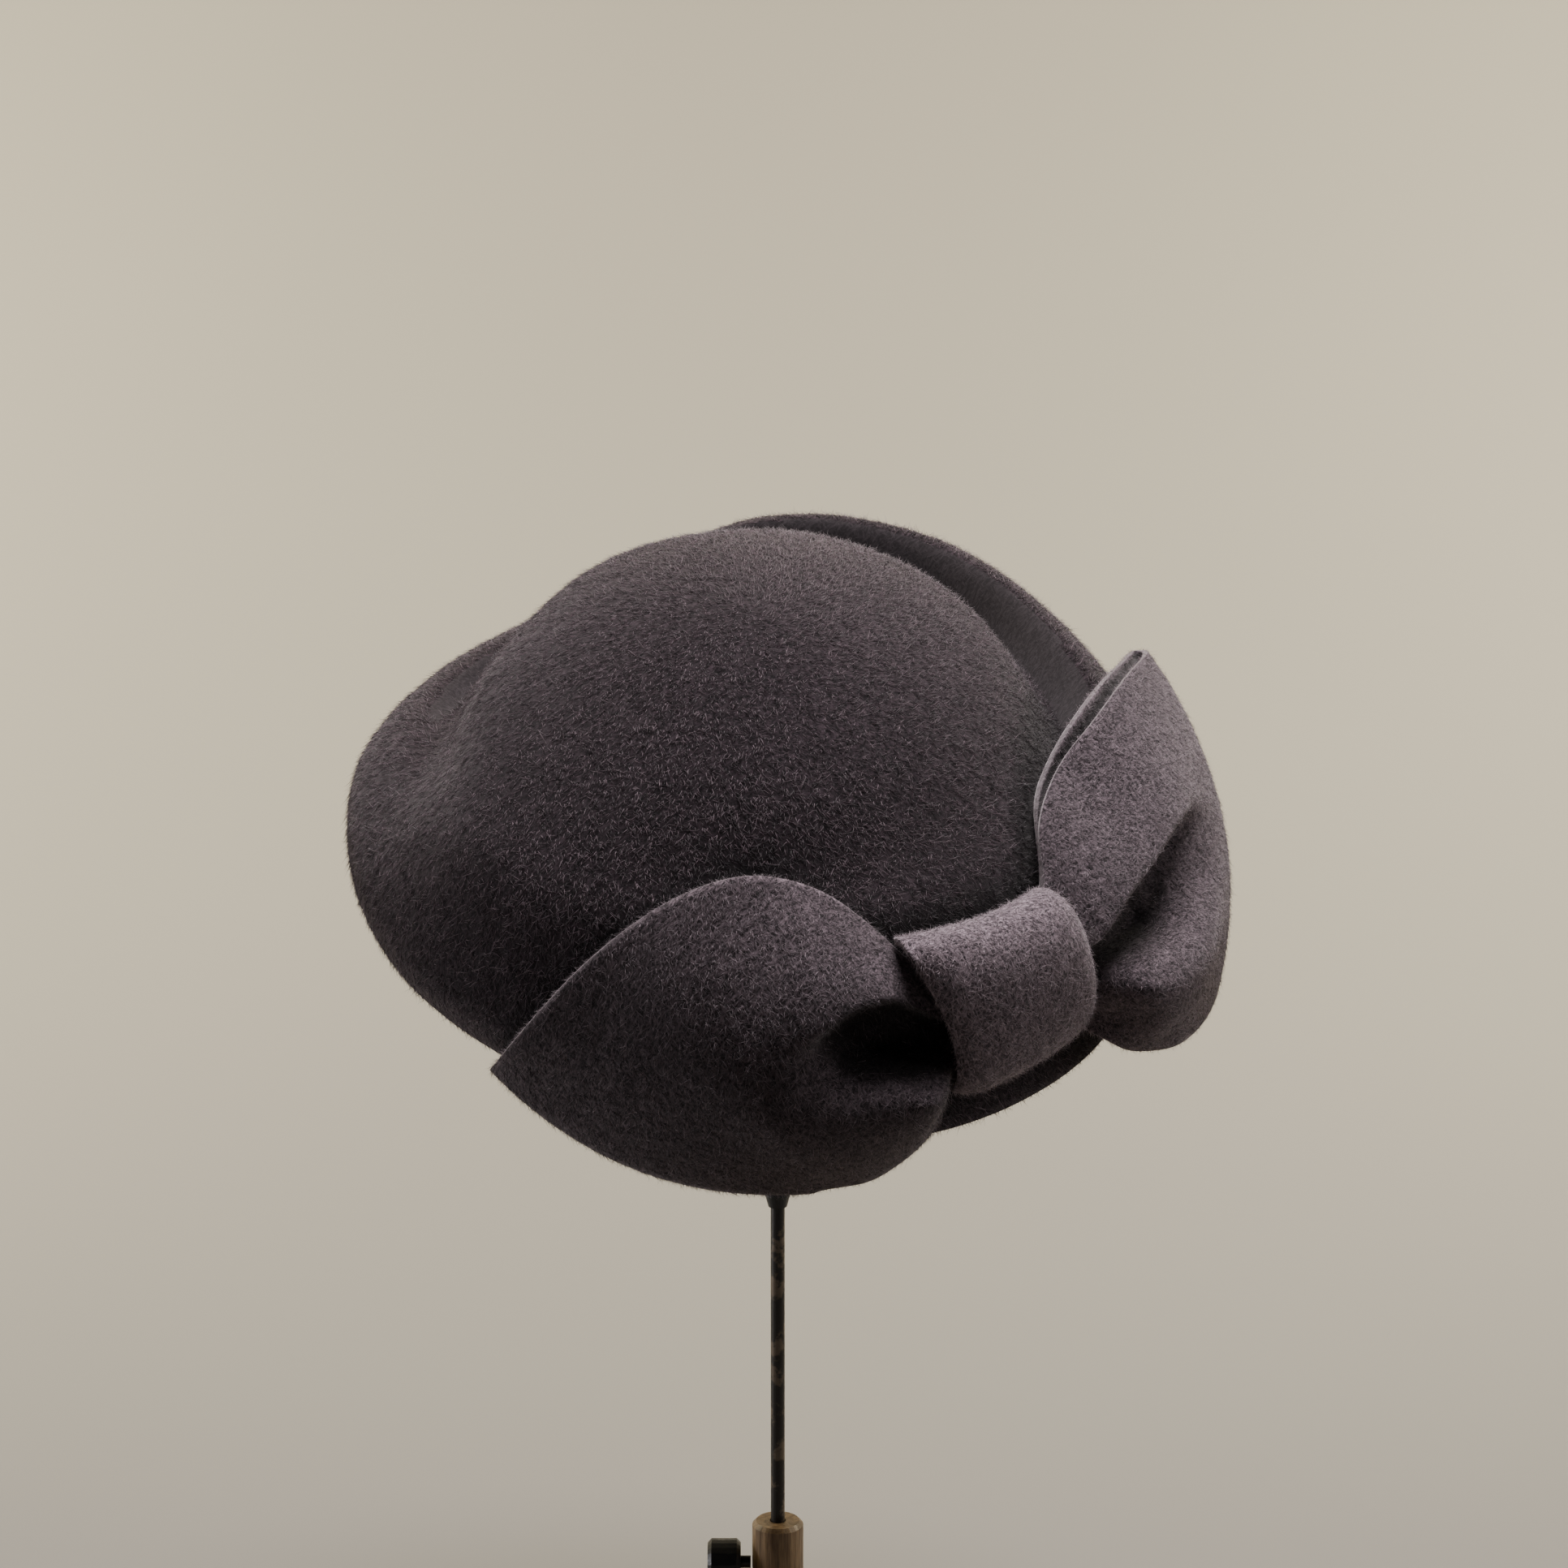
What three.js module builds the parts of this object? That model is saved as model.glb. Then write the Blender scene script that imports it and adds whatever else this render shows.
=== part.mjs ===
// A brimless felt hat (a toque) with a sculpted crown and a felt bow, resting on a plain rod stand.
// Millimetres, +Z up, -Y is the front. The origin is the centre of the stand's foot, on the surface that it
// stands on.
//
// The hat is worked out in its own frame: its origin is the middle of the head opening, +Z runs up through
// the dome, and a place on it is given as turn (degrees round +Z, 0 at the right, -90 at the front),
// rise (height over the head opening) and reach (distance from the hat's own axis).
import * as THREE from "three";

// ---------- driving dimensions ----------
const CROWN_FELT = 2.2; // wall of the blocked crown
const BOW_FELT = 1.8; // felt of the bow
const SEAT = 0.4; // space left between two pieces that rest on each other

const HAT_TILT = 28; // degrees that the hat nods forward on its stand
const HAT_PLACE = new THREE.Vector3(-6.5, 0, 248); // middle of the head opening, over the foot

const DOME = { wide: 84, deep: 87, high: 73 }; // half width, half depth and height

const ROD_RADIUS = 1.8;
const BORE_RADIUS = 2.1; // hole that the rod stands in
const BORE_DEEP = 24;
const HEAD = { radius: 20, top: 320, neck: 7, high: 30 }; // support inside the dome
const COLLAR = { radius: 3.2, bottom: 155, high: 9 };
const POST = { radius: 6.6, top: 70 };
const SCREW = { knob: 6, knobLong: 8.5, stem: 1.6, stemLong: 2.6, rise: 58.5 };
const FOOT = { radius: 74, thick: 16, edge: 3 };

// Crown sections, one every 30 degrees of turn. Behind the dome a valley runs round it and the felt rises
// again to a rolled crest; at the front, valley and crest flatten into one slope. On the left the dome's
// shoulder stands out as a soft ridge, which a pinched crease ends at the back.
const CROWN_TURN_STEP = 30;
const CROWN_COLUMNS = ["shoulderOut", "valleyReach", "valleyRise", "crestReach", "crestRise", "bulgeReach",
  "bulgeRise", "rimReach", "rimRise"];
const CROWN_SECTIONS = [
  [0, 75, 31, 87, 38, 99, 18, 98, -8], // 0, right
  [0, 73, 31, 84, 41, 97, 22, 94, -1], // 30
  [0, 71, 30, 84, 44, 96, 24, 92, 1], // 60
  [0, 71, 31, 82, 42, 94, 21, 91, 1], // 90, back
  [0, 73, 27, 82, 25, 93, 14, 90, 0], // 120
  [-1.5, 75, 20, 86, 22, 96, 14, 91, 0], // 150
  [2, 74, 32, 86, 28.5, 98, 19, 96, -1], // 180, left
  [4, 79.5, 42, 90, 28.5, 98.5, 13.5, 95, 1], // 210
  [3, 79, 41.5, 87.5, 29, 95, 13, 93, 0], // 240
  [0, 78, 41, 87, 29, 91, 12, 93, -6], // 270, front
  [0, 78, 40, 86, 28, 89, 12, 96, -14], // 300
  [0, 76, 38, 86, 29, 94, 12, 100, -14], // 330
];

// Bow loops. Each row is one rib, from the knot out to the far fold: where the upper and lower cut edges of
// the front layer lie, how far it swells between them, how far it sags, the hollow that runs out of the knot
// (where its lower and upper lips lie, its depth, how far it widens behind its lower lip, and how far the
// ridge above it stands out), how far behind those edges the back layer lies, and how far the back layer's
// upper edge is tucked down. Lips and behind are shares of the rib.
const RIB_COLUMNS = ["turnHigh", "riseHigh", "reachHigh", "turnLow", "riseLow", "reachLow", "swell", "dip",
  "lipLow", "lipHigh", "hollow", "behind", "ridge", "gapHigh", "gapLow", "tucked"];
const LEFT_RIBS = [
  [-57, 30, 90, -57, 8, 100, 8, 0, 0.36, 0.74, 3, 0, 0, 2.8, 3, 2],
  [-63.5, 32, 88.5, -62, 5, 101, 12, 0, 0.32, 0.76, 12, 0.04, 0, 2.8, 4, 3],
  [-70, 42.5, 81, -65, -2, 101.5, 17, 0, 0.38, 0.79, 26, 0.06, 1.5, 3, 5, 3],
  [-78, 50, 73, -68, -8.5, 101.5, 20, 0, 0.43, 0.73, 26, 0.06, 3, 3, 5, 3],
  [-90, 54, 71.5, -71, -13, 101, 20, 0, 0.43, 0.61, 4, 0, 1, 3, 5, 3],
  [-102, 50, 76, -74, -15, 101.5, 18, 0, 0.41, 0.59, 0, 0, 0, 3, 5, 3],
  [-112.5, 39, 84, -77, -15.5, 101.5, 12, 1, 0.41, 0.59, 0, 0, 0, 3, 5, 3],
  [-119.5, 23.5, 92.5, -80, -15, 102, 7, 1.5, 0.41, 0.59, 0, 0, 0, 3, 5, 3],
  [-125.5, 5, 99.5, -82, -15.8, 102, 3, 2.2, 0.41, 0.59, 0, 0, 0, 3, 5, 3],
];
const RIGHT_RIBS = [
  [-43, 29.5, 88, -43, 8, 100, 8, 0, 0.43, 0.65, 2, 0, 0, 2.6, 4, 2],
  [-41.5, 31, 86.5, -40, 1, 103.5, 13, 0, 0.47, 0.69, 9, 0.02, 0, 2.8, 6, 3],
  [-31.5, 42.5, 78, -36.5, -6, 108, 20, 0, 0.48, 0.72, 24, 0.08, 1, 2.8, 8, 3],
  [-19.5, 46.5, 76, -33, -10, 112, 21, 0, 0.46, 0.72, 24, 0.08, 2, 2.8, 9, 1],
  [-9, 50, 81.5, -29.5, -12, 116, 16, 0, 0.44, 0.69, 14, 0.02, 1, 4.5, 9, 0],
  [3, 49.5, 89.5, -25, -11.5, 118.5, 9, 0, 0.41, 0.61, 2, 0, 0, 4.8, 7, 0],
  [13, 44, 99, -20.5, -10, 119, 5, 0, 0.41, 0.59, 0, 0, 0, 4.5, 5.5, 0],
];
// Columns of a loop, as shares of its width, the two of them that follow the hollow's lips, and the middle of
// the ridge above.
const ACROSS = [0, 0.14, 0.27, 0.36, 0.41, 0.455, 0.5, 0.545, 0.58, 0.63, 0.7, 0.78, 0.86, 0.93, 1];
const LIPS = [0.41, 0.59];
const RIDGE_AT = 0.67;
const LAYERS_APART = 1.4 * BOW_FELT; // least, between the middles of a loop's two layers

// Knot: a strip of felt over the middle of the bow. Its line rises behind the loops, runs over them and ends
// in a cut edge below. Its sides turn in, its lower corners are rounded off, and its top is drawn up and out
// to the left, where it is pulled in behind the left loop.
const KNOT = { turnFrom: -63, turnTo: -40, sideIn: 2.6, cornerUp: 0.05, drawnUp: 7, drawnOut: 4.5 };
const KNOT_LINE = [ // [reach, rise]
  [85, 33.5], [88.5, 38], [94.5, 38], [100.5, 32.5], [104.5, 23], [106, 13], [104.5, 6], [101, 3.5],
];

// ---------- small helpers ----------
const radians = THREE.MathUtils.degToRad;
const lerp = THREE.MathUtils.lerp;
const smooth = THREE.MathUtils.smoothstep;

function row(columns, values) {
  return Object.fromEntries(columns.map((name, i) => [name, values[i]]));
}

// Point of the hat's own frame at a turn, rise and reach.
function place(turn, rise, reach) {
  const a = radians(turn);
  return new THREE.Vector3(reach * Math.cos(a), reach * Math.sin(a), rise);
}

// Catmull-Rom weight of four neighbours at t, from 0 at b to 1 at c.
function spline(a, b, c, d, t) {
  return b + 0.5 * t * (c - a + t * (2 * a - 5 * b + 4 * c - d + t * (3 * (b - c) + d - a)));
}

// A smooth line through rows of numbers. t runs from 0 to rows.length - 1, or round and round if closed.
function along(rows, t, closed = false) {
  const count = rows.length;
  const start = closed ? Math.floor(t) : THREE.MathUtils.clamp(Math.floor(t), 0, count - 2);
  const pick = (k) => {
    if (closed) return rows[((k % count) + count) % count];
    if (k < 0) return rows[0].map((v, i) => 2 * v - rows[1][i]);
    if (k >= count) return rows[count - 1].map((v, i) => 2 * v - rows[count - 2][i]);
    return rows[k];
  };
  const near = [-1, 0, 1, 2].map((k) => pick(start + k));
  return near[0].map((_, i) => spline(...near.map((r) => r[i]), t - start));
}

// A closed geometry from vertices and triangles.
function solidOf(points, triangles) {
  const geometry = new THREE.BufferGeometry();
  geometry.setAttribute("position", new THREE.Float32BufferAttribute(points.flatMap((p) => p.toArray()), 3));
  geometry.setIndex(triangles);
  geometry.computeVertexNormals();
  return geometry;
}

// Direction of a line at a point, halfway between its directions before and after the point.
function directionAt(before, point, after) {
  return point.clone().sub(before).normalize().add(after.clone().sub(point).normalize());
}

// Unit normals of a grid of points, grid[i][j], on the side where i cross j points.
function gridNormals(grid, closedJ) {
  const last = grid.length - 1;
  return grid.map((line, i) => line.map((point, j) => {
    const count = line.length;
    const before = closedJ ? (j + count - 1) % count : Math.max(j - 1, 0);
    const after = closedJ ? (j + 1) % count : Math.min(j + 1, count - 1);
    const alongI = directionAt(grid[Math.max(i - 1, 0)][j], point, grid[Math.min(i + 1, last)][j]);
    return alongI.cross(directionAt(line[before], point, line[after])).normalize();
  }));
}

// ---------- crown ----------
const DOME_ANGLES = [0, 18, 36, 49.5]; // degrees from the top on the plain ellipsoid; the last is its shoulder

// Reach and rise of the crown's outer line at a turn, as control points from the top to the rim.
function crownLine(turn) {
  const a = radians(turn);
  const domeReach = 1 / Math.hypot(Math.cos(a) / DOME.wide, Math.sin(a) / DOME.deep);
  const s = row(CROWN_COLUMNS, along(CROWN_SECTIONS, turn / CROWN_TURN_STEP, true));
  const dome = DOME_ANGLES.map((d, i) => {
    const out = i === DOME_ANGLES.length - 1 ? s.shoulderOut : 0;
    return [(domeReach + out) * Math.sin(radians(d)), (DOME.high + out) * Math.cos(radians(d))];
  });
  return [...dome, [s.valleyReach, s.valleyRise], [s.crestReach, s.crestRise], [s.bulgeReach, s.bulgeRise],
    [s.rimReach, s.rimRise]];
}

// Point of that line at t, counted in control points. Before the top, the line is mirrored.
function crownAt(line, t) {
  const mirrored = [[-line[1][0], line[1][1]], ...line];
  return along(mirrored, t + 1);
}

// Least reach at which something stays clear of the crown, at a turn and rise.
function clearOfCrown(turn, rise, clearance) {
  const line = crownLine(turn);
  let best = 0;
  for (let t = 0; t <= line.length - 1; t += 0.05) {
    const [reach, height] = crownAt(line, t);
    const above = height - rise;
    if (above > 0) best = Math.max(best, reach);
    if (Math.abs(above) < clearance) best = Math.max(best, reach + Math.sqrt(clearance ** 2 - above ** 2));
  }
  return best;
}

function crown() {
  const turns = 64;
  const outerSteps = [0.5, 1.05, 1.6, 2.15, 2.7, 3.15, 3.5, 3.8, 4.1, 4.45, 4.8, 5.15, 5.5, 5.85, 6.2, 6.6,
    7];
  const lines = Array.from({ length: turns }, (_, j) => crownLine((360 / turns) * j));
  const ring = (t) => lines.map((line, j) => {
    const [reach, rise] = crownAt(line, t);
    return place((360 / turns) * j, rise, reach);
  });
  const outer = outerSteps.map(ring);
  const normals = gridNormals(outer, true);
  const inner = outer.map((line, i) => line.map((p, j) =>
    p.clone().addScaledVector(normals[i][j], -CROWN_FELT)));
  const rings = [...outer, ...inner.toReversed()];
  const top = new THREE.Vector3(0, 0, DOME.high);
  const underTop = new THREE.Vector3(0, 0, DOME.high - CROWN_FELT);
  const points = [top, ...rings.flat(), underTop];
  const triangles = [];
  const at = (i, j) => 1 + i * turns + (j % turns);
  for (let j = 0; j < turns; j++) {
    triangles.push(0, at(0, j), at(0, j + 1));
    triangles.push(points.length - 1, at(rings.length - 1, j + 1), at(rings.length - 1, j));
    for (let i = 0; i < rings.length - 1; i++) {
      triangles.push(at(i, j), at(i + 1, j), at(i + 1, j + 1));
      triangles.push(at(i, j), at(i + 1, j + 1), at(i, j + 1));
    }
  }
  return solidOf(points, triangles);
}

// ---------- sheets of felt ----------
// A closed solid round a sheet's middle surface, grid[i][j].
function sheet(grid, thick) {
  const rows = grid.length;
  const columns = grid[0].length;
  const normals = gridNormals(grid, false);
  const side = (sign) => grid.flatMap((line, i) => line.map((p, j) =>
    p.clone().addScaledVector(normals[i][j], (sign * thick) / 2)));
  const points = [...side(1), ...side(-1)];
  const front = (i, j) => i * columns + j;
  const back = (i, j) => rows * columns + front(i, j);
  const triangles = [];
  for (let i = 0; i < rows - 1; i++) {
    for (let j = 0; j < columns - 1; j++) {
      triangles.push(front(i, j), front(i + 1, j), front(i + 1, j + 1));
      triangles.push(front(i, j), front(i + 1, j + 1), front(i, j + 1));
      triangles.push(back(i, j), back(i + 1, j + 1), back(i + 1, j));
      triangles.push(back(i, j), back(i, j + 1), back(i + 1, j + 1));
    }
  }
  const wall = (a, b) => {
    triangles.push(front(...a), front(...b), back(...b));
    triangles.push(front(...a), back(...b), back(...a));
  };
  for (let i = 0; i < rows - 1; i++) {
    wall([i + 1, 0], [i, 0]);
    wall([i, columns - 1], [i + 1, columns - 1]);
  }
  for (let j = 0; j < columns - 1; j++) {
    wall([0, j], [0, j + 1]);
    wall([rows - 1, j + 1], [rows - 1, j]);
  }
  return solidOf(points, triangles);
}

// ---------- bow ----------
// How far the knot's sides are turned in at a turn; side is 1 at its cut edge.
function knotSide(turn) {
  return Math.abs((2 * (turn - KNOT.turnFrom)) / (KNOT.turnTo - KNOT.turnFrom) - 1);
}

// Most reach at which a loop stays under the knot, at a turn and rise. Beside the knot the limit soon ends.
function underKnot(turn, rise) {
  const side = knotSide(turn);
  const clearance = BOW_FELT + SEAT + 1.1 + KNOT.sideIn * Math.min(side, 1) ** 7;
  let best = Infinity;
  for (let t = 1.5; t <= KNOT_LINE.length - 1; t += 0.05) {
    const [reach, height] = along(KNOT_LINE, t);
    const above = Math.abs(height - rise);
    if (above < clearance) best = Math.min(best, reach - Math.sqrt(clearance ** 2 - above ** 2));
  }
  return best + 45 * Math.max(side - 1.05, 0);
}

// Share of a rib at which a column lies, so that the same two columns run along the hollow's lips.
function shareOfRib(column, rib) {
  if (column < LIPS[0]) return (column / LIPS[0]) * rib.lipLow;
  if (column > LIPS[1]) return 1 - ((1 - column) / (1 - LIPS[1])) * (1 - rib.lipHigh);
  return lerp(rib.lipLow, rib.lipHigh, (column - LIPS[0]) / (LIPS[1] - LIPS[0]));
}

// Where a column lies in the hollow: down is 0 on the lips and 1 on the floor, and behind is 1 where the
// hollow reaches farthest behind its lower lip.
function inHollow(column) {
  const across = (2 * column - LIPS[0] - LIPS[1]) / (LIPS[1] - LIPS[0]);
  const down = Math.exp(-(across ** 4));
  return { down, behind: down * Math.sin(Math.PI * THREE.MathUtils.clamp(-across, 0, 1)) };
}

// One point of a loop: out is 0 at the knot and 1 at the fold, and a column is 0 at the lower cut edge and 1
// at the upper.
function loopPoint(ribs, out, column, layer) {
  const rib = row(RIB_COLUMNS, along(ribs, out * (ribs.length - 1)));
  const { down, behind } = inHollow(column);
  const up = shareOfRib(column, rib) - (layer === "front" ? rib.behind * behind : 0);
  const arch = 4 * up * (1 - up);
  const turn = lerp(rib.turnLow, rib.turnHigh, up);
  const rise = lerp(rib.riseLow, rib.riseHigh, up) - rib.dip * arch;
  const edge = lerp(rib.reachLow, rib.reachHigh, up);
  const backEdge = edge - lerp(rib.gapLow, rib.gapHigh, up);
  if (layer === "back") {
    const backRise = rise - rib.tucked * up ** 4;
    return place(turn, backRise, Math.max(backEdge, clearOfCrown(turn, backRise, SEAT + BOW_FELT)));
  }
  const ridge = rib.ridge * Math.exp(-(((column - RIDGE_AT) / 0.13) ** 2));
  const floor = Math.max(backEdge, clearOfCrown(turn, rise, SEAT + BOW_FELT)) + LAYERS_APART;
  const front = Math.max(Math.min(edge + rib.swell * arch + ridge, underKnot(turn, rise)), floor);
  return place(turn, rise, front - down * Math.min(rib.hollow, front - floor));
}

function loop(ribs) {
  const frontSteps = 20;
  const foldSteps = 4;
  const backSteps = 14;
  const across = (point) => ACROSS.map(point);
  const grid = [];
  for (let i = 0; i <= frontSteps; i++) {
    grid.push(across((column) => loopPoint(ribs, i / frontSteps, column, "front")));
  }
  for (let k = 1; k < foldSteps; k++) {
    const angle = (Math.PI * k) / foldSteps;
    grid.push(across((column) => {
      const front = loopPoint(ribs, 1, column, "front");
      const back = loopPoint(ribs, 1, column, "back");
      const before = loopPoint(ribs, 0.96, column, "front");
      const half = front.clone().sub(back).multiplyScalar(0.5);
      const away = front.clone().sub(before);
      away.addScaledVector(half, -away.dot(half) / half.lengthSq()).setLength(half.length());
      const middle = back.clone().add(half);
      return middle.addScaledVector(half, Math.cos(angle)).addScaledVector(away, Math.sin(angle));
    }));
  }
  for (let i = backSteps; i >= 0; i--) {
    grid.push(across((column) => loopPoint(ribs, i / backSteps, column, "back")));
  }
  return sheet(grid, BOW_FELT);
}

function knot() {
  const lineSteps = 16;
  const widthShares = [0, 0.04, 0.11, 0.25, 0.5, 0.75, 0.89, 0.96, 1];
  const grid = [];
  for (let i = 0; i <= lineSteps; i++) {
    grid.push(widthShares.map((u) => {
      const straight = lerp(KNOT.turnFrom, KNOT.turnTo, u);
      const side = knotSide(straight);
      const t = (i / lineSteps) * (1 - KNOT.cornerUp * side ** 5) * (KNOT_LINE.length - 1);
      const drawn = (1 - u) ** 2 * (1 - smooth(t, 1.5, 4.5));
      const turn = straight - KNOT.drawnOut * drawn;
      const [reach, rise] = along(KNOT_LINE, t);
      const [reachBefore, riseBefore] = along(KNOT_LINE, t - 0.1);
      const turnedIn = KNOT.sideIn * side ** 7 * smooth(t, 0, 1.5);
      const outward = new THREE.Vector2(riseBefore - rise, reach - reachBefore).normalize();
      return place(turn, rise - turnedIn * outward.y + KNOT.drawnUp * drawn, reach - turnedIn * outward.x);
    }));
  }
  return sheet(grid, BOW_FELT);
}

// ---------- stand ----------
// A turned piece: its profile is [reach, height] pairs, seen from the front on the right of the axis, going
// up on the outside.
function turned(profile, segments = 24) {
  const line = profile.map(([r, z]) => new THREE.Vector2(r, z));
  return new THREE.LatheGeometry(line, segments).rotateX(Math.PI / 2);
}

function standHead() {
  const bottom = HEAD.top - HEAD.high;
  const cap = Array.from({ length: 9 }, (_, k) => {
    const a = radians(-20 + (110 * k) / 8);
    return [HEAD.radius * Math.cos(a), HEAD.top - HEAD.radius * (1 - Math.sin(a))];
  });
  cap[8][0] = 0;
  return turned([[0, bottom + BORE_DEEP / 2], [BORE_RADIUS, bottom + BORE_DEEP / 2], [BORE_RADIUS, bottom],
    [HEAD.neck, bottom], [HEAD.neck, bottom + 3], ...cap]);
}

function standPost() {
  const { radius, top } = POST;
  return turned([[0, FOOT.thick + SEAT], [radius, FOOT.thick + SEAT], [radius, top - 1], [radius - 1, top],
    [BORE_RADIUS, top], [BORE_RADIUS, top - BORE_DEEP], [0, top - BORE_DEEP]]);
}

function standRod() {
  const bottom = POST.top - BORE_DEEP + SEAT;
  const top = HEAD.top - HEAD.high + BORE_DEEP / 2 - SEAT;
  return turned([[0, bottom], [ROD_RADIUS, bottom], [ROD_RADIUS, top], [0, top]], 20);
}

function standCollar() {
  const { radius, bottom, high } = COLLAR;
  return turned([[BORE_RADIUS, bottom], [BORE_RADIUS + 0.3, bottom], [radius, bottom + 3],
    [radius, bottom + high], [BORE_RADIUS, bottom + high], [BORE_RADIUS, bottom]]);
}

function standScrew() {
  const { knob, knobLong, stem, stemLong, rise } = SCREW;
  const long = stemLong + knobLong;
  const geometry = turned([[0, 0], [stem, 0], [stem, stemLong], [knob - 1, stemLong], [knob, stemLong + 1],
    [knob, long - 1], [knob - 1, long], [0, long]]);
  return geometry.rotateY(-Math.PI / 2).translate(-POST.radius - SEAT, 0, rise);
}

function standFoot() {
  const { radius, thick, edge } = FOOT;
  return turned([[0, 0], [radius - 1, 0], [radius, 1], [radius, thick - edge],
    [radius - edge * 0.3, thick - edge * 0.3], [radius - edge, thick], [0, thick]], 48);
}

// ---------- materials ----------
const felt = new THREE.MeshStandardMaterial({ color: 0x473f40, roughness: 0.95, metalness: 0 });
const wood = new THREE.MeshStandardMaterial({ color: 0x9a6f42, roughness: 0.55, metalness: 0 });
const rodMetal = new THREE.MeshStandardMaterial({ color: 0x3a332d, roughness: 0.6, metalness: 0.6 });
const blackMetal = new THREE.MeshStandardMaterial({ color: 0x17171a, roughness: 0.45, metalness: 0.7 });

function piece(name, geometry, material) {
  const mesh = new THREE.Mesh(geometry, material);
  mesh.name = name;
  return mesh;
}

// ---------- the whole ----------
const hat = new THREE.Group();
hat.position.copy(HAT_PLACE);
hat.rotation.x = radians(HAT_TILT);
hat.add(piece("crown", crown(), felt));
hat.add(piece("bow_loop_left", loop(LEFT_RIBS), felt));
hat.add(piece("bow_loop_right", loop(RIGHT_RIBS), felt));
hat.add(piece("bow_knot", knot(), felt));

const part = new THREE.Group();
part.add(hat);
part.add(piece("stand_head", standHead(), wood));
part.add(piece("stand_collar", standCollar(), blackMetal));
part.add(piece("stand_rod", standRod(), rodMetal));
part.add(piece("stand_post", standPost(), wood));
part.add(piece("stand_screw", standScrew(), blackMetal));
part.add(piece("stand_foot", standFoot(), wood));

export default part;
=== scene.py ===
# %% [markdown]
# # A felt toque on a rod stand
# This lesson dresses a brimless felt hat that rests, nodding forward, on a thin rod stand. The solids were
# made as CAD and come in as a fixed frame: metres, +Z up, the front towards -Y. They have the right shape
# but no cloth on them. Here the hat gets its felt: a smooth skin with softened cut edges, a felted
# colour, and a real nap of short fibres. The stand gets its wood, its worn rod and its black fittings.

# %% Load the frame
import math

import bpy
import numpy as np
from mathutils import Matrix, Vector, noise
from mathutils.bvhtree import BVHTree


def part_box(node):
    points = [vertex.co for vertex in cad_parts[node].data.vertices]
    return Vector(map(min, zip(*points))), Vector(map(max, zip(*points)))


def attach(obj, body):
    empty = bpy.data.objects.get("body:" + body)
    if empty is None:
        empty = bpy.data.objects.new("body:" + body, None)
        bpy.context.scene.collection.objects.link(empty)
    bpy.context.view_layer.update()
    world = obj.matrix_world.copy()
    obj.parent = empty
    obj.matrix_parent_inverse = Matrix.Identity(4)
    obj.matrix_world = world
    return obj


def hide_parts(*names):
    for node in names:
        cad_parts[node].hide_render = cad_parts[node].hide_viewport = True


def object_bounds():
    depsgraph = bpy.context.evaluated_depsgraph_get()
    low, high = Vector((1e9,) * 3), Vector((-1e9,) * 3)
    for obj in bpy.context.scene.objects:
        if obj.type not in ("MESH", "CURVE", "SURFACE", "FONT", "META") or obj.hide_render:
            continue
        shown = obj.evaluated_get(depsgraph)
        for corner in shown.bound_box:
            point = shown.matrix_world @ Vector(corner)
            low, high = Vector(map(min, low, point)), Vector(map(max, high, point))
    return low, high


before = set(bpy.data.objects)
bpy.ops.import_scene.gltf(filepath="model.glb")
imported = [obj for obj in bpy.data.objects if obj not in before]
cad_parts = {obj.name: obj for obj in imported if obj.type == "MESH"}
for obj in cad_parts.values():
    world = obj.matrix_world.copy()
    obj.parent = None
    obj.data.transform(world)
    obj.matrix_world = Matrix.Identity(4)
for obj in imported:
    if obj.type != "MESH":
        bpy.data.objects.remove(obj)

cad_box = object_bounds()
MM = 0.001
TOP = cad_box[1][2]
print("CAD box (m):", [[round(v, 4) for v in corner] for corner in cad_box])

# %% [markdown]
# ## Camera
# A small object looks natural through a longish lens, because a wide one makes the near side swell. The
# camera stands a little under a metre in front and looks 12 degrees down, so that the crown's top and the
# bow both show. A camera looks along its own -Z, so `to_track_quat("-Z", "Y")` turns it to its aim.

# %% Camera
AIM = Vector((1.6 * MM, 0, TOP - 60.7 * MM))
CAMERA_DISTANCE = 858 * MM
CAMERA_RISE = math.radians(12)

toward_camera = Vector((0, -math.cos(CAMERA_RISE), math.sin(CAMERA_RISE)))
bpy.ops.object.camera_add(location=AIM + CAMERA_DISTANCE * toward_camera)
camera = bpy.context.object
camera.rotation_euler = (-toward_camera).to_track_quat("-Z", "Y").to_euler()
camera.data.lens = 80
camera.data.sensor_width = 36
camera.data.dof.use_dof = False
bpy.context.scene.camera = camera
print("camera at", [round(v, 3) for v in camera.location])

# %% [markdown]
# ## Floor and backdrop
# A studio sweep is one sheet of paper that lies flat under the object and curves up behind it, so there is
# no line where floor and wall meet. A floor and a wall with a bevel between them would do too, but it is
# simpler to make the sweep as the paper goes: a plane, its back edge spun through a quarter turn, and that
# edge extruded straight up.

# %% The sweep
SWEEP_WIDE, SWEEP_DEEP = 6, 4
SWEEP_BEND = 1.1  # radius of the curve
SWEEP_BACK = 0.2  # where the floor begins to rise
SWEEP_WALL = 2.2  # height of the straight part above the curve

bpy.ops.object.select_all(action="DESELECT")
bpy.ops.mesh.primitive_plane_add(size=1, location=(0, 0, 0))
sweep = bpy.context.object
sweep.name = "sweep"
sweep.scale = (SWEEP_WIDE, SWEEP_DEEP, 1)
bpy.ops.object.transform_apply(location=True, rotation=True, scale=True)
sweep.data.transform(Matrix.Translation((0, SWEEP_BACK - SWEEP_DEEP / 2, 0)))

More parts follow.
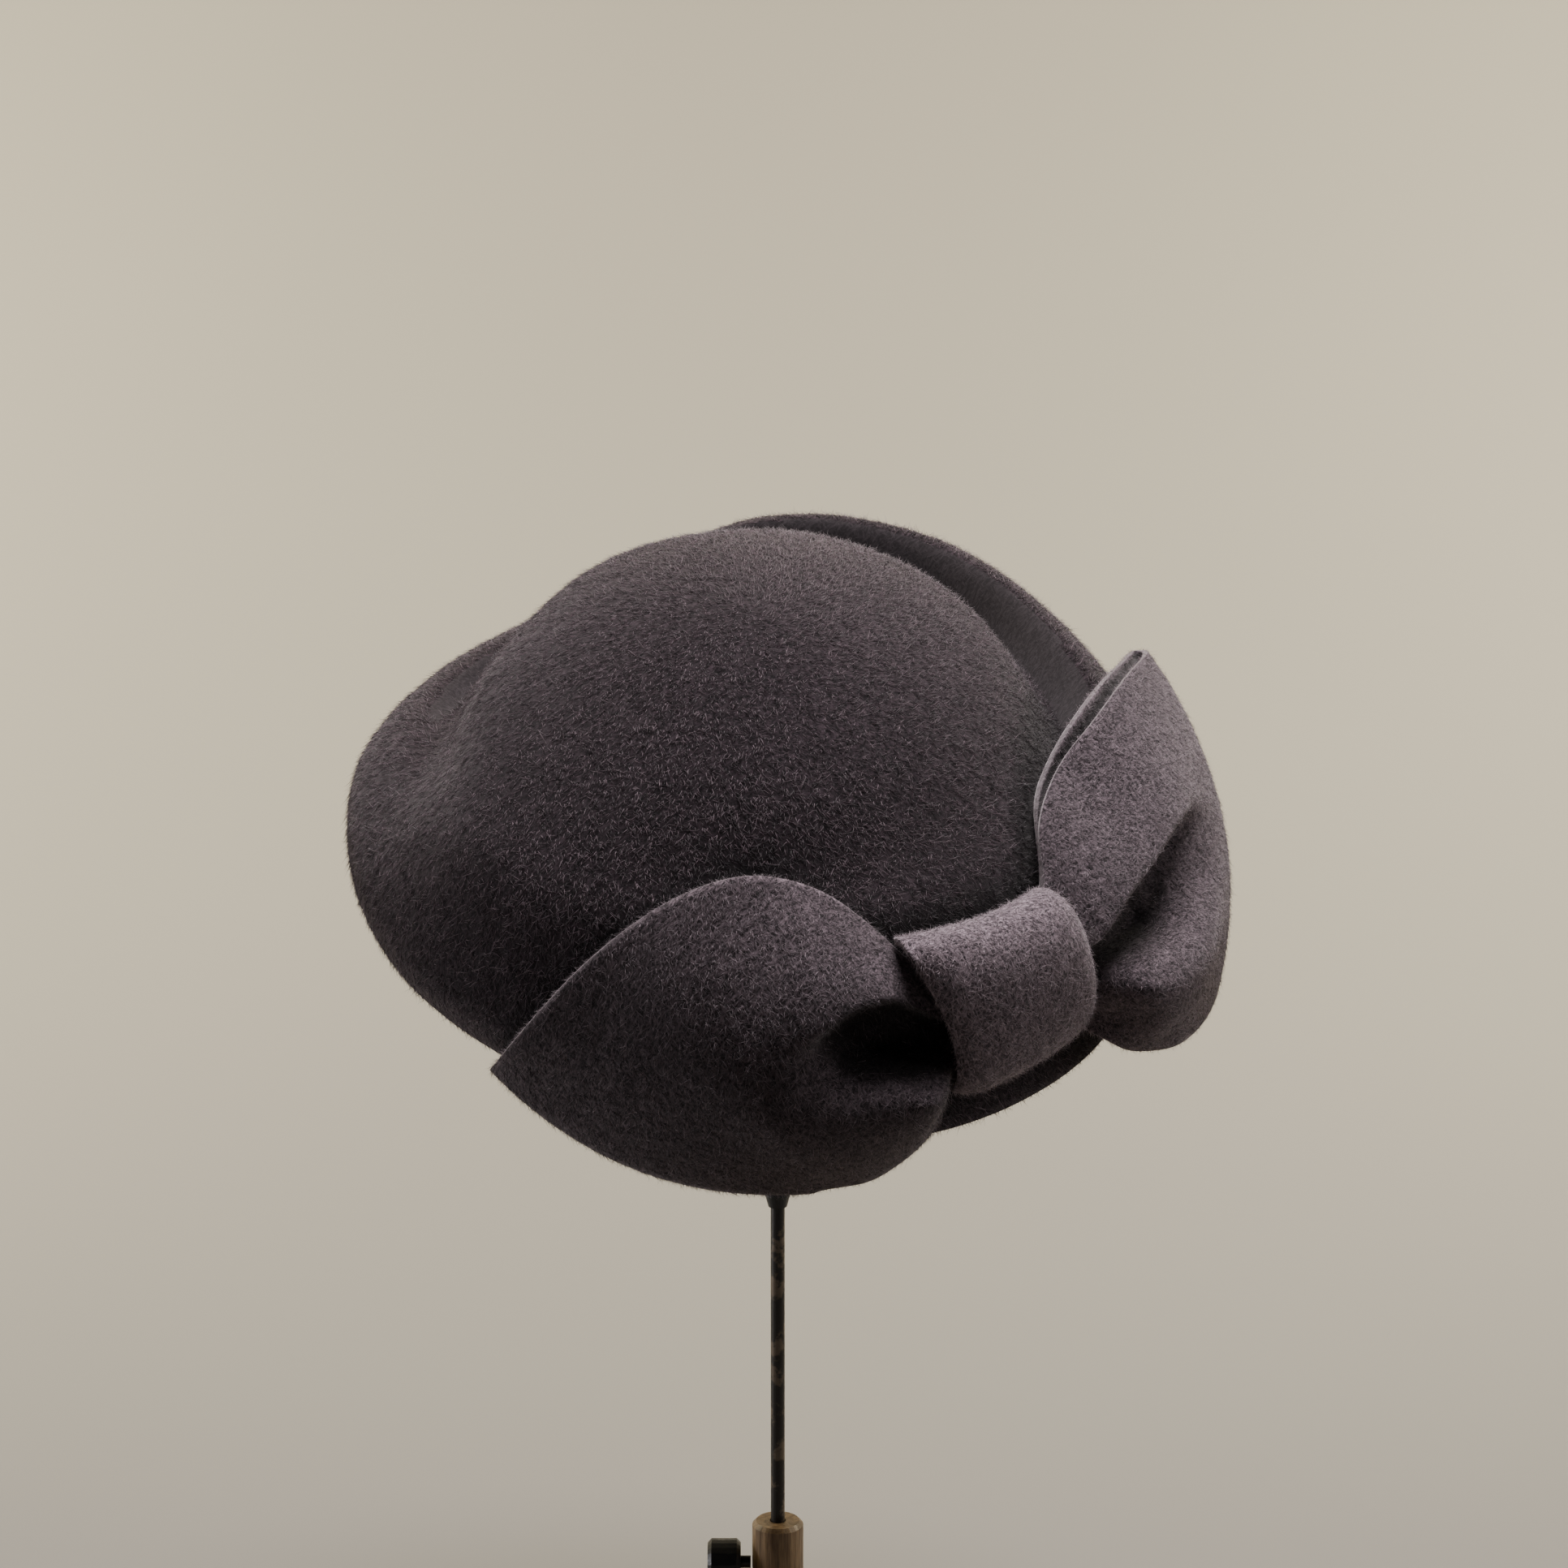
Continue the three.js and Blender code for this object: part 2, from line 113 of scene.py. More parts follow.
bpy.ops.object.mode_set(mode="EDIT")
bpy.ops.mesh.select_mode(type="VERT")
bpy.ops.mesh.select_all(action="DESELECT")
bpy.ops.object.mode_set(mode="OBJECT")
for corner in sweep.data.vertices:
    corner.select = corner.co.y > SWEEP_BACK - 10 * MM
bpy.ops.object.mode_set(mode="EDIT")
bpy.ops.mesh.spin(steps=48, angle=math.radians(90), center=(0, SWEEP_BACK, SWEEP_BEND), axis=(-1, 0, 0))
bpy.ops.mesh.extrude_region_move(TRANSFORM_OT_translate={"value": (0, 0, SWEEP_WALL)})
bpy.ops.object.mode_set(mode="OBJECT")
bpy.ops.object.shade_smooth()
sweep_end = max(corner.co.y for corner in sweep.data.vertices)
print("sweep:", len(sweep.data.polygons), "faces, its wall at y =", round(sweep_end, 2))

# %% [markdown]
# ## Light
# Felt shows its form by soft light from above: the top of the dome is bright, the sides fall off slowly
# and the hollows of the bow go nearly black. A pale world alone would light it from all sides and flatten
# it, so the world adds almost nothing. A round lamp half a metre wide, overhead and a little to the right,
# does most of it. A weaker one high on the right reaches the knot and the right loop, and a small low one
# on the left keeps that side of the crown and the folds under the left loop from going black. Two warm
# lamps beside the hat face the sweep, so that they make the paper pale without reaching the felt's front.

# %% Lamps
LAMPS = [  # name, place, aim, width, watts, colour
    ("overhead", (0.12, 0.02, 1.1), (0, 0, 0.25), 0.5, 13.3, (1.0, 0.975, 0.985)),
    ("right_fill", (1.2, -0.1, 0.7), (0, 0, 0.25), 0.7, 4, (1.0, 0.98, 0.98)),
    ("left_fill", (-0.8, 0.0, 0.12), (0, 0, 0.22), 0.2, 2.5, (0.98, 0.97, 1.0)),
    ("wall_left", (-0.75, 0.45, 0.75), (-0.35, 1.5, 0.1), 0.7, 22, (1.0, 0.905, 0.645)),
    ("wall_right", (0.75, 0.45, 0.75), (0.35, 1.5, 0.1), 0.7, 22, (1.0, 0.905, 0.645)),
]
for name, place, aim, width, watts, colour in LAMPS:
    bpy.ops.object.light_add(type="AREA", location=place)
    light = bpy.context.object
    light.name = name
    light.rotation_euler = (Vector(aim) - Vector(place)).to_track_quat("-Z", "Y").to_euler()
    light.data.shape = "DISK"
    light.data.size = width
    light.data.energy = watts
    light.data.color = colour

world = bpy.context.scene.world or bpy.data.worlds.new("studio")
bpy.context.scene.world = world
world.use_nodes = True
world.node_tree.nodes["Background"].inputs["Color"].default_value = (0.93, 0.93, 1.0, 1)
world.node_tree.nodes["Background"].inputs["Strength"].default_value = 0.02

# %% [markdown]
# ## Small helpers for node materials
# A material is a graph of nodes. It can be drawn in the shader editor, but a script can say it shorter: `put`
# adds a node and `plug` fills its sockets, each with a number, a colour or another node's output. A shader
# node group is a graph of its own with named inputs and outputs, so one effect can be built once and used in
# several materials with different values.

# %% Node helpers
def plug(tree, node, **inputs):
    """Fills a node's sockets, named with _ for a space, or numbered i0, i1 where several share one name."""
    for key, value in inputs.items():
        numbered = key[0] == "i" and key[1:].isdigit()
        socket = node.inputs[int(key[1:]) if numbered else key.replace("_", " ")]
        if isinstance(value, bpy.types.NodeSocket):
            tree.links.new(value, socket)
        else:
            socket.default_value = value


def put(tree, kind, settings=None, **inputs):
    """Adds a node. settings are its own properties, and inputs fill its sockets."""
    node = tree.nodes.new(kind)
    for key, value in (settings or {}).items():
        setattr(node, key, value)
    plug(tree, node, **inputs)
    return node


def new_group(name, inputs, outputs):
    """An empty shader node group. inputs maps a name to (kind, default), outputs a name to a kind."""
    tree = bpy.data.node_groups.new(name, "ShaderNodeTree")
    for key, (kind, default) in inputs.items():
        socket = tree.interface.new_socket(key, in_out="INPUT", socket_type=kind)
        if default is not None:
            socket.default_value = default
    for key, kind in outputs.items():
        tree.interface.new_socket(key, in_out="OUTPUT", socket_type=kind)
    return tree, put(tree, "NodeGroupInput").outputs, put(tree, "NodeGroupOutput")


def new_material(name):
    """A material with only its Principled shader and output. Returns the material, its tree and the shader."""
    material = bpy.data.materials.new(name)
    material.use_nodes = True
    tree = material.node_tree
    return material, tree, tree.nodes["Principled BSDF"]


def use_group(tree, group, **inputs):
    """A group placed in a material, drawn in the object's own coordinates. Returns its outputs."""
    place = put(tree, "ShaderNodeTexCoord")
    return put(tree, "ShaderNodeGroup", {"node_tree": group}, Vector=place.outputs["Object"], **inputs).outputs

# %% [markdown]
# ## Felt, as a group of nodes
# Fur felt is hair pressed into a sheet. Close up it is a mat of short pale strokes over dark gaps, and the
# strokes run every way. A noise pattern that is stretched along one direction looks like strokes. Three of
# them in three directions, of which the brightest wins at each point, look like a mat. A larger noise makes
# the colour drift, as hand brushing does. A painted pattern of felt would be quicker to place, but it would
# show its seams on a round crown, and noise has none.

# %% Felt group
STROKE_TURNS = [(0.2, 0.5, 0.3), (-0.5, -0.2, 1.4), (0.9, -0.6, 2.3)]  # radians, one direction per noise
STROKE_STRETCH = 6.0  # length of a stroke to its width
STROKE_BEND = 2.2 * MM

felt_mat, given, result = new_group(
    "felt_mat",
    {"Vector": ("NodeSocketVector", None), "Strokes per metre": ("NodeSocketFloat", 800.0)},
    {"Strokes": "NodeSocketFloat", "Drift": "NodeSocketFloat", "Height": "NodeSocketFloat"},
)
bend = put(felt_mat, "ShaderNodeTexNoise", {"noise_dimensions": "3D"}, Vector=given["Vector"], Scale=260.0,
           Detail=1.0)
bent = put(felt_mat, "ShaderNodeVectorMath", {"operation": "MULTIPLY_ADD"}, i0=bend.outputs["Color"],
           i1=(STROKE_BEND, STROKE_BEND, STROKE_BEND), i2=given["Vector"])
brightest = None
for turn in STROKE_TURNS:
    turned = put(felt_mat, "ShaderNodeMapping", {"vector_type": "TEXTURE"}, Vector=bent.outputs[0],
                 Rotation=turn, Scale=(1, 1, STROKE_STRETCH))
    value = put(felt_mat, "ShaderNodeTexNoise", Vector=turned.outputs[0], Scale=given["Strokes per metre"],
                Detail=2.0, Roughness=0.6).outputs["Fac"]
    if brightest is not None:
        value = put(felt_mat, "ShaderNodeMath", {"operation": "MAXIMUM"}, i0=value, i1=brightest).outputs[0]
    brightest = value
shown = put(felt_mat, "ShaderNodeMapRange", i0=brightest, i1=0.47, i2=0.72, i3=0.0, i4=1.0)
drift = put(felt_mat, "ShaderNodeTexNoise", Vector=given["Vector"], Scale=38.0, Detail=4.0, Roughness=0.6)
plug(felt_mat, result, Strokes=shown.outputs[0], Drift=drift.outputs["Fac"], Height=brightest)
print("felt group:", len(felt_mat.nodes), "nodes")

# %% [markdown]
# ## Felt materials
# The face of the felt is a dark, warm brown-grey. Its strokes are a little lighter and its gaps darker. The
# sheen lobe stands for the fibres too fine to model, which catch light along the edge of every rounded
# form. Where the felt is cut, the ends of the fibres show, and they are paler and fluffier. Deep in a fold
# the fibres shade each other, more than the skin alone can show, so shade is painted there: the felt is made
# darker, and paler where some pieces face up, as painted light, by an attribute on the mesh called lit.

# %% Felt materials
def felt_material(name, dark, light, strokes=1400.0, sheen=0.8, bump=0.35):
    """Felt with gaps of one colour and strokes of another."""
    material, tree, shader = new_material(name)
    mat = use_group(tree, felt_mat, Strokes_per_metre=strokes)
    mixed = put(tree, "ShaderNodeMix", {"data_type": "RGBA"}, i0=mat["Strokes"], i6=(*dark, 1), i7=(*light, 1))
    drift = put(tree, "ShaderNodeMapRange", i0=mat["Drift"], i1=0.3, i2=0.7, i3=0.86, i4=1.14)
    # painted shade and painted light: the mesh's lit attribute darkens the felt in hollows and makes it paler
    # where it faces up
    lit = put(tree, "ShaderNodeAttribute", {"attribute_name": "lit"})
    shade = put(tree, "ShaderNodeMath", {"operation": "MULTIPLY"}, i0=drift.outputs[0], i1=lit.outputs["Fac"])
    shaded = put(tree, "ShaderNodeVectorMath", {"operation": "SCALE"}, i0=mixed.outputs[2],
                 Scale=shade.outputs[0])
    raised = put(tree, "ShaderNodeBump", Strength=bump, Distance=0.6 * MM, Height=mat["Height"])
    plug(tree, shader, Base_Color=shaded.outputs[0], Normal=raised.outputs["Normal"], Roughness=0.95,
         Specular_IOR_Level=0.12, Sheen_Weight=sheen, Sheen_Roughness=0.55, Sheen_Tint=(0.95, 0.86, 0.86, 1))
    return material


felt_face = felt_material("felt_face", (0.003, 0.002, 0.003), (0.055, 0.037, 0.0455), sheen=0.25)
felt_bow = felt_material("felt_bow", (0.012, 0.009, 0.011), (0.225, 0.170, 0.194), 1800.0, sheen=0.35)
# painted light: the knot's felt is paler than the loops' to stand for the light on its top
felt_knot = felt_material("felt_knot", (0.015, 0.011, 0.014), (0.320, 0.244, 0.277), 1800.0, sheen=0.4)
felt_cut = felt_material("felt_cut_edge", (0.080, 0.065, 0.072), (0.300, 0.245, 0.265), 1800.0, bump=0.2)
felt_inside = felt_material("felt_inside", (0.014, 0.011, 0.0125), (0.045, 0.036, 0.040), sheen=0.3, bump=0.2)
print("felt materials:", [m.name for m in (felt_face, felt_bow, felt_knot, felt_cut, felt_inside)])

# %% [markdown]
# ## The felt skins
# The crown is a hood of felt, steamed and pulled over a wooden block. The bow is cut from flat felt, folded
# by hand. Their CAD solids have the right folds but are faceted. A copy of each mesh has its loose corners
# merged and its triangles joined to quads, because subdivision smooths a grid of quads evenly. The cut
# edges are creased so that they stay narrow while all else is rounded, and the strip between two creases
# gets the material of cut felt. A cloth simulation could fold flat felt too, but blocked felt is stiff: it
# keeps the form that it was steamed to, and the solids already have that form.

# %% Skin helper
CUT_ANGLE = math.radians(62)  # an edge sharper than this is where the felt was cut
FACE, CUT, INSIDE = 0, 1, 2  # material slots


def felt_skin(node, face, crease):
    """A merged, subdivided copy of a CAD node, with its cut strips in their own material slot."""
    skin = bpy.data.objects.new("felt_" + node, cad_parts[node].data.copy())
    bpy.context.scene.collection.objects.link(skin)
    bpy.ops.object.select_all(action="DESELECT")
    skin.select_set(True)
    bpy.context.view_layer.objects.active = skin
    bpy.ops.mesh.customdata_custom_splitnormals_clear()
    skin.data.materials.clear()
    for material in (face, felt_cut, felt_inside):
        skin.data.materials.append(material)
    bpy.ops.object.mode_set(mode="EDIT")
    bpy.ops.mesh.select_mode(type="EDGE")
    bpy.ops.mesh.select_all(action="SELECT")
    bpy.ops.mesh.mark_sharp(clear=True)
    bpy.ops.mesh.remove_doubles(threshold=0.02 * MM)
    bpy.ops.mesh.tris_convert_to_quads(face_threshold=math.radians(70), shape_threshold=math.radians(80))
    bpy.ops.mesh.select_all(action="DESELECT")
    bpy.ops.mesh.edges_select_sharp(sharpness=CUT_ANGLE)
    bpy.ops.transform.edge_crease(value=crease)
    bpy.ops.object.mode_set(mode="OBJECT")
    cut = {edge.key for edge in skin.data.edges if edge.select}
    for polygon in skin.data.polygons:
        if sum(key in cut for key in polygon.edge_keys) >= 2:
            polygon.material_index = CUT
    quads = sum(len(polygon.vertices) == 4 for polygon in skin.data.polygons)
    print(skin.name, len(skin.data.polygons), "faces,", quads, "quads,", len(cut), "cut edges")
    smooth = skin.modifiers.new("smooth", "SUBSURF")
    smooth.levels = smooth.render_levels = 2
    bpy.ops.object.modifier_apply(modifier="smooth")
    bpy.ops.object.shade_smooth()
    return skin

# %% [markdown]
# ## Four skins
# The crown was pressed and brushed as one, so its cut edge is a little softer than the bow's. The knot is
# painted the palest, as painted light: it lies on top of the bow, where the lamps fall on it most.

# %% Make the skins
felt_pieces = {
    "crown": felt_skin("crown", felt_face, 0.6),
    "bow_loop_left": felt_skin("bow_loop_left", felt_bow, 0.75),
    "bow_loop_right": felt_skin("bow_loop_right", felt_bow, 0.75),
    "bow_knot": felt_skin("bow_knot", felt_knot, 0.75),
}

# %% [markdown]
# ## Uneven hand work
# Hand work is never quite even. One slow field of small shifts moves every vertex of the hat, up to a
# third of a millimetre. A displace modifier on each piece could do it, but this is one field in space, so
# two pieces that lie on each other move together and the gap between them stays. Blender's noise starts
# from the clock unless it is given a seed, and then the hat would come out a little different every time.

# %% Shift every vertex
UNEVEN = 0.4  # millimetres for a field of 1
noise.seed_set(5)


def values_of(items, key, width=1, kind=np.float64):
    """One property of all of a mesh's items as an array, with a row for each item if it has several numbers."""
    values = np.empty(len(items) * width, kind)
    items.foreach_get(key, values)
    return values.reshape(-1, width) if width > 1 else values


def wander(place):
    """A slow field of shifts with a quicker, weaker one on it."""
    return noise.noise_vector(Vector(place) * 32) * 0.6 + noise.noise_vector(Vector(place) * 75) * 0.25


for piece in felt_pieces.values():
    place = values_of(piece.data.vertices, "co", 3)
    shift = np.array([wander(p) for p in place])
    piece.data.vertices.foreach_set("co", (place + shift * UNEVEN * MM).ravel())
    piece.data.update()
print("skins:", {name: len(piece.data.polygons) for name, piece in felt_pieces.items()})

# %% [markdown]
# ## The crown's inside
# The inside of the crown was never brushed. It could be picked by hand, face by face, but its faces all look
# back towards the heart of the hat, so their normals find them. They get the smoother felt of the inside.

# %% The crown's inside
HAT_TILT = math.radians(28)
crown_low, crown_high = (Vector(corner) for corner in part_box("crown"))
hat_heart = (crown_low + crown_high) / 2
hat_up = Matrix.Rotation(HAT_TILT, 3, "X") @ Vector((0, 0, 1))

inner_faces = 0
for face in felt_pieces["crown"].data.polygons:
    if face.material_index == FACE and (face.center - hat_heart).dot(face.normal) < 0:
        face.material_index = INSIDE
        inner_faces += 1
print("faces inside the crown:", inner_faces)

# %% [markdown]
# ## The colours of the nap
# What makes felt look like felt is its nap: hairs of one or two millimetres that lean over the surface and
# catch the light on their own. The fur was not dyed quite evenly, so the hairs have three shades, and the
# mix of them makes the felt's colour from afar. There are more pale ones on the cut edges, where the ends
# of the fibres stand up.

# %% Nap materials
CROWN_SHADES = [(0.009, 0.0062, 0.0076), (0.058, 0.0400, 0.0470), (0.190, 0.1350, 0.1560)]  # dark, mid, light
BOW_SHADES = [(0.022, 0.017, 0.020), (0.165, 0.129, 0.144), (0.380, 0.304, 0.334)]
# painted light: how much paler the knot's hairs are than the loops'
KNOT_PALER = 1.5
FACE_SHARES = [0.3, 0.4, 0.3]  # dark, mid and light hairs on the face of the felt
CUT_SHARES = [0.05, 0.3, 0.65]  # and on its cut edges


def nap_materials(name, shades, paler=1):
    """One plain material for each shade of hair."""
    made = []
    for number, colour in enumerate(shades):
        material, tree, shader = new_material(f"{name}_nap_{number}")
        plug(tree, shader, Base_Color=(*[part * paler for part in colour], 1), Roughness=0.8,
             Specular_IOR_Level=0.2, Sheen_Weight=0.3, Sheen_Roughness=0.5, Sheen_Tint=(0.95, 0.86, 0.88, 1))
        made.append(material)
    return made


crown_nap = nap_materials("crown", CROWN_SHADES)
bow_nap = nap_materials("bow", BOW_SHADES)
knot_nap = nap_materials("knot", BOW_SHADES, KNOT_PALER)
print("nap materials:", [m.name for m in crown_nap + bow_nap + knot_nap])

# %% [markdown]
# ## The hollows, in painted shade and painted light
# In the deep folds of a bow the nap stands closer and hardly any light gets out again. The lamps alone can't
# show that, because real fibres are far finer than these, so that shade is painted into the felt's colour. A
# fixed fan of directions leaves every vertex of a skin, and the share of them that meet no felt within a few
# centimetres says how open the place is. Each piece of the bow paints shade into its own hollows, and the bow
# as a whole paints shade on the crown around it. Between two limits of openness the felt goes from black to
# its full colour. Painted light then makes the left loop and the knot paler where they face up than where they
# face down.

# %% Hollows
BOW = ["bow_loop_left", "bow_loop_right", "bow_knot"]
# painted shade by openness, and painted light by which way the skin faces
PAINTED_SHADE_AND_LIGHT = {  # what shades it, how far, openness where it is black and where full, paleness facing down and up
    "crown": (BOW, 60 * MM, 0.55, 1.0, 1.0, 1.0),
    "bow_loop_left": (["bow_loop_left"], 30 * MM, 0.66, 0.95, 0.56, 1.5),
    "bow_loop_right": (["bow_loop_right"], 30 * MM, 0.46, 0.92, 1.0, 1.0),
    "bow_knot": (["bow_knot"], 30 * MM, 0.0, 0.5, 1.0, 1.45),
}
FAN_RINGS = [(0.35, 6), (0.75, 9), (1.1, 12)]  # each ring's angle from the normal in radians, and its directions
FAN = [Vector((math.sin(tilt) * math.cos(turn), math.sin(tilt) * math.sin(turn), math.cos(tilt)))
       for tilt, count in FAN_RINGS for turn in np.arange(count) * 2 * math.pi / count + tilt]
FAN_START = 0.5 * MM  # above the felt, so that no direction meets the face that it leaves
BLACKEST = 0.02


def tree_of(pieces):
    """One search tree over the faces of several pieces."""
    corners, faces = [], []
    for piece in pieces:
        first = len(corners)
        corners += [v.co for v in piece.data.vertices]
        faces += [[first + k for k in f.vertices] for f in piece.data.polygons]
    return BVHTree.FromPolygons(corners, faces)


for node, piece in felt_pieces.items():
    shaded_by, reach, black, full, down, up = PAINTED_SHADE_AND_LIGHT[node]
    shading_tree = tree_of(felt_pieces[name] for name in shaded_by)
    openness = []
    for vertex in piece.data.vertices:
        turn = vertex.normal.to_track_quat("Z", "Y")
        start = vertex.co + vertex.normal * FAN_START
        met = sum(shading_tree.ray_cast(start, turn @ way, reach)[0] is not None for way in FAN)
        openness.append(1 - met / len(FAN))
    # painted shade: the felt goes to black where few directions get out
    share = np.clip((np.array(openness) - black) / (full - black), 0, 1)
    lit = BLACKEST + (1 - BLACKEST) * share * share * (3 - 2 * share)
    # painted light: paler where the skin faces up, darker where it faces down
    lit *= [down + (up - down) * max(vertex.normal.z, 0) for vertex in piece.data.vertices]
    piece.data.attributes.new("lit", "FLOAT", "POINT").data.foreach_set("value", lit)
    print(piece.name, "openness from", round(min(openness), 2), "mean lit", round(float(lit.mean()), 2))

# %% [markdown]
# ## Where hairs grow
# Hairs grow from random points that are spread evenly by area: a triangle is drawn with its area as its
# chance, and then a point in it. A fixed seed gives the same hairs every time. Places that another piece of
# felt covers get none, because they would poke through it.

# %% Scatter points
HAIR_START = 0.0004  # metres above the felt
HAIR_ROOM = 2.5 * MM  # free space that a hair needs over it
CM2 = 1e4  # square centimetres in a square metre

felt_tree = tree_of(felt_pieces.values())


def scatter(piece, per_cm2, slot, seed):
    """Random points on a piece's faces in a material slot. Returns places, normals and how lit they are."""
    mesh = piece.data
    mesh.calc_loop_triangles()
    corners = values_of(mesh.loop_triangles, "vertices", 3, np.int32)
    corners = corners[values_of(mesh.loop_triangles, "material_index", 1, np.int32) == slot]
    place, normal = (values_of(mesh.vertices, key, 3) for key in ("co", "normal"))
    a, b, c = (place[corners[:, k]] for k in range(3))
    area = np.linalg.norm(np.cross(b - a, c - a), axis=1) / 2
    rng = np.random.default_rng(seed)
    wanted = int(area.sum() * CM2 * per_cm2)
    face = rng.choice(len(area), wanted, p=area / area.sum())
    u, v = rng.random((2, wanted, 1))
    over = (u + v) > 1
    u, v = np.where(over, 1 - u, u), np.where(over, 1 - v, v)
    points = a[face] + u * (b - a)[face] + v * (c - a)[face]
    na, nb, nc = (normal[corners[face, k]] for k in range(3))
    out = na + u * (nb - na) + v * (nc - na)
    lit = values_of(mesh.attributes["lit"].data, "value")
    return points, out / np.linalg.norm(out, axis=1, keepdims=True), lit[corners[face, 0]]


def uncovered(points, normals):
    """Which points have no felt close over them."""
    starts = points + normals * HAIR_START
    hits = (felt_tree.ray_cast(Vector(p), Vector(n), HAIR_ROOM)[0] for p, n in zip(starts, normals))
    return np.array([hit is None for hit in hits])

# %% [markdown]
# ## The shape of a hair
# Each hair is a closed sliver with four faces: a narrow base sunk in the felt and a tip. Hair curves or a
# particle system would be quicker to set up, but they aren't meshes, so a hat kept as meshes alone would be
# bald. The hairs lean mostly down the hat, as a brush would lay them, and each turns a little its own way.

# %% Hairs as meshes
HAIR_SUNK = 0.12  # share of a hair's length below the surface
HAIR_BENT = 0.12  # how far a tip strays sideways, as a share of the length
HAIR_TURN = (0.35, 0.75)  # radians off the way down the hat: the mean and the spread
LEAN_SPREAD = 0.16  # radians
LENGTH_SPREAD = 0.3


def hairs(points, normals, long, wide, lean, seed):
    """Corner places of four-cornered slivers, an array of (hairs, 4, 3)."""
    rng = np.random.default_rng(seed)
    count = len(points)
    outward = points - np.array(hat_heart)
    down = outward - np.array(hat_up) * (outward @ np.array(hat_up))[:, None]
    down = down / np.linalg.norm(down, axis=1, keepdims=True) * 0.5 - np.array(hat_up)
    along = down - normals * (down * normals).sum(1, keepdims=True)
    along /= np.maximum(np.linalg.norm(along, axis=1, keepdims=True), 1e-6)
    across = np.cross(normals, along)
    turn = rng.normal(*HAIR_TURN, (count, 1))
    heading = along * np.cos(turn) + across * np.sin(turn)
    beside = across * np.cos(turn) - along * np.sin(turn)
    lift = np.clip(rng.normal(lean, LEAN_SPREAD, (count, 1)), 0.05, 1.2)
    length = long * np.clip(rng.lognormal(0, LENGTH_SPREAD, (count, 1)), 0.45, 1.9)
    aim = heading * np.cos(lift) + normals * np.sin(lift)
    root = points - aim * length * HAIR_SUNK
    tip = points + aim * length * (1 - HAIR_SUNK) + beside * length * rng.normal(0, HAIR_BENT, (count, 1))
    flat = np.cross(aim, beside)
    return np.stack([root + beside * wide / 2, root - beside * wide / 2, root + flat * wide * 0.6, tip], axis=1)


def nap_mesh(name, corners, shades, materials):
    """One object of closed slivers."""
    count = len(corners)
    mesh = bpy.data.meshes.new(name)
    mesh.vertices.add(count * 4)
    mesh.vertices.foreach_set("co", corners.ravel())
    face = np.array([[0, 2, 1], [0, 1, 3], [1, 2, 3], [2, 0, 3]])
    index = (face[None] + 4 * np.arange(count)[:, None, None]).reshape(-1)
    mesh.loops.add(len(index))
    mesh.loops.foreach_set("vertex_index", index)
    mesh.polygons.add(count * 4)
    mesh.polygons.foreach_set("loop_start", np.arange(0, len(index), 3))
    mesh.polygons.foreach_set("material_index", np.repeat(shades, 4))
    for material in materials:
        mesh.materials.append(material)
    mesh.update(calc_edges=True)
    mesh.validate()
    piece = bpy.data.objects.new(name, mesh)
    bpy.context.scene.collection.objects.link(piece)
    return piece

# %% [markdown]
# ## Grow the nap
# On the face of the felt the hairs lie low. On the cut edges they are shorter and stand up more. As painted
# shade, a hair in a dark hollow is often a dark one, and as painted light, a hair that faces up on the left
# loop or the knot is often a light one. The hairs of a piece are shared out over as many meshes as keep each
# of them light.

# %% Grow the hairs
NAP_MOST = 49000  # hairs in one mesh, four triangles each
NAP_PLAN = [  # piece, hairs to the square centimetre on the face and on the cut edges, length, width, shades
    ("crown", (200, 120), 2.5 * MM, 0.14 * MM, crown_nap),
    ("bow_loop_left", (250, 300), 2.1 * MM, 0.09 * MM, bow_nap),
    ("bow_loop_right", (250, 300), 2.1 * MM, 0.09 * MM, bow_nap),
    ("bow_knot", (300, 300), 2.1 * MM, 0.09 * MM, knot_nap),
]
NAP_LAY = [(FACE, 1.0, 0.30, FACE_SHARES), (CUT, 0.6, 0.7, CUT_SHARES)]  # slot, share of length, lean, shades

nap_pieces = []
for seed, (node, densities, long, wide, materials) in enumerate(NAP_PLAN):
    sets, shades = [], []
    rng = np.random.default_rng(200 + seed)
    for density, (slot, share, lean, odds) in zip(densities, NAP_LAY):
        points, normals, lit = scatter(felt_pieces[node], density, slot, 10 * seed + slot)
        free = uncovered(points, normals)
        sets.append(hairs(points[free], normals[free], long * share, wide, lean, 100 + 10 * seed + slot))
        shade = rng.choice(3, free.sum(), p=odds)
        odd = rng.random(free.sum())
        # painted shade and painted light: a dark hair where the felt is painted dark, a light one where lit is
        # above one
        shades.append(np.select([lit[free] < odd, lit[free] - 1 > odd], [0, 2], shade))
    corners, shades = np.concatenate(sets), np.concatenate(shades)
    parts = math.ceil(len(corners) / NAP_MOST)
    for part in range(parts):
        nap = nap_mesh(f"nap_{node}_{part + 1}", corners[part::parts], shades[part::parts], materials)
        nap_pieces.append(nap)
        print(nap.name, len(nap.data.polygons), "triangles")

# %% [markdown]
# ## Wood
# The stand's post and foot are turned beech with a satin varnish. Blender's wave texture makes rings like
# a plank's, but turned beech shows short, fine streaks. A noise pattern that is stretched up the piece gives
# those, and a much finer one over it gives the pores.

# %% Wood group and material
WOOD_RAMP = [(0.3, (0.115, 0.066, 0.030, 1)), (0.7, (0.360, 0.240, 0.130, 1))]  # grain value, colour

